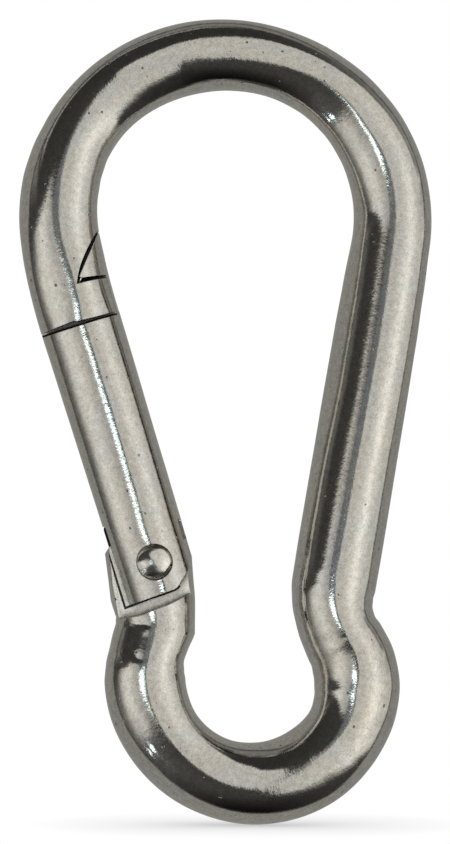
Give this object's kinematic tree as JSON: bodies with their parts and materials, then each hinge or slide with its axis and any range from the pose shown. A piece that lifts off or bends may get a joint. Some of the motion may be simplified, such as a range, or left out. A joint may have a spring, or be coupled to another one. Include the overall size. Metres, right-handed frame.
{
  "type": "spring snap hook",
  "caption": "Polished stainless spring snap hook: a bent round bar with a large bow and a small eye, closed by a sprung gate that swings inwards on a rivet.",
  "frame": {"origin": "centre of the small eye, in the plane the bar is bent in", "axes": "+Z from the small eye to the large bow, +X towards the plain leg (the gate is on the -X side), Y across the bar's bending plane and along the hinge rivet"},
  "size_m": [0.0409, 0.0082, 0.0798],
  "materials": {
    "body_steel": "tumble-polished stainless bar, slightly uneven",
    "gate_steel": "tumble-polished stainless bar, slightly uneven",
    "rivet_steel": "polished stainless rivet head",
    "spring_steel": "drawn spring wire",
    "plunger_steel": "turned stainless"
  },
  "bodies": {
    "hook": {"hook_body": "body_steel"},
    "gate": {"gate": "gate_steel", "hinge_rivet": "rivet_steel", "gate_spring": "spring_steel"},
    "plunger": {"spring_plunger": "plunger_steel"}
  },
  "joints": [
    {"name": "gate_hinge", "type": "hinge", "parent": "hook", "child": "gate", "pos_m": [-0.00971, 0, 0.01171], "axis": [0, 1, 0], "range_deg": [0, 42], "stiffness_Nm_per_rad": 0.15, "springref_deg": -20.05},
    {"name": "plunger_slide", "type": "slide", "parent": "gate", "child": "plunger", "axis": [-0.2944, 0, 0.9557], "range_m": [0, 0.0012], "deforming": ["gate_spring"]}
  ],
  "couplings": [
    {"joint": "plunger_slide", "follows": "gate_hinge", "m_per_rad": 0.0016}
  ]
}
